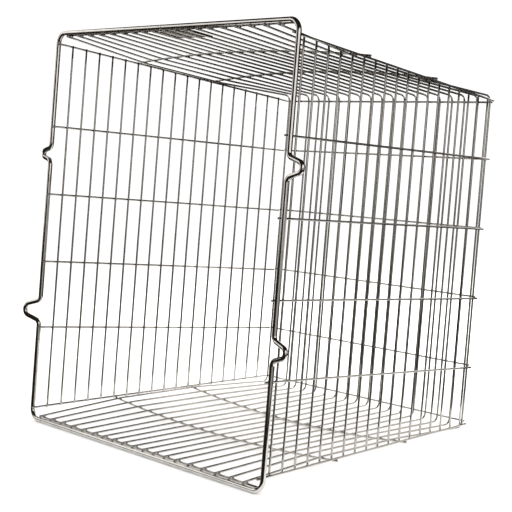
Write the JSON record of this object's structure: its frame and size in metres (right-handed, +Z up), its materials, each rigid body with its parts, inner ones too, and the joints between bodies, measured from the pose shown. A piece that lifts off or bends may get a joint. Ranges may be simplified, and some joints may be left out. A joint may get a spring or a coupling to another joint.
{
  "type": "wire mesh container",
  "caption": "Open-mouthed tapered storage basket of welded round wire with a thick kinked rim and a small tag plate, laid on its side with the mouth facing forward.",
  "frame": {"origin": "centre of the bounding box, at the ground the basket lies on", "axes": "+Z up, -Y out of the basket's mouth, +X to the right as seen looking into the mouth"},
  "size_m": [0.5976, 0.506, 0.5972],
  "materials": {
    "rim_steel": "electropolished, bright",
    "mesh_steel": "electropolished, bright",
    "tag_steel": "mirror polished"
  },
  "bodies": {
    "root": {"rim": "rim_steel", "left_wall_grid": "mesh_steel", "right_wall_grid": "mesh_steel", "left_rail_1": "mesh_steel", "left_rail_2": "mesh_steel", "left_rail_3": "mesh_steel", "left_rail_4": "mesh_steel", "right_rail_1": "mesh_steel", "right_rail_2": "mesh_steel", "right_rail_3": "mesh_steel", "right_rail_4": "mesh_steel", "u_wire_01": "mesh_steel", "u_wire_02": "mesh_steel", "u_wire_03": "mesh_steel", "u_wire_04": "mesh_steel", "u_wire_05": "mesh_steel", "u_wire_06": "mesh_steel", "u_wire_07": "mesh_steel", "u_wire_08": "mesh_steel", "u_wire_09": "mesh_steel", "u_wire_10": "mesh_steel", "u_wire_11": "mesh_steel", "u_wire_12": "mesh_steel", "u_wire_13": "mesh_steel", "u_wire_14": "mesh_steel", "u_wire_15": "mesh_steel", "u_wire_16": "mesh_steel", "u_wire_17": "mesh_steel", "u_wire_18": "mesh_steel", "u_wire_19": "mesh_steel", "back_rail_1": "mesh_steel", "back_rail_2": "mesh_steel", "back_rail_3": "mesh_steel", "back_rail_4": "mesh_steel", "back_rail_5": "mesh_steel", "back_rail_6": "mesh_steel", "ceiling_cross_1": "mesh_steel", "ceiling_cross_2": "mesh_steel", "floor_cross_1": "mesh_steel", "floor_cross_2": "mesh_steel", "ceiling_front_cross": "mesh_steel", "floor_front_cross": "mesh_steel", "tag_plate": "tag_steel"}
  },
  "joints": []
}
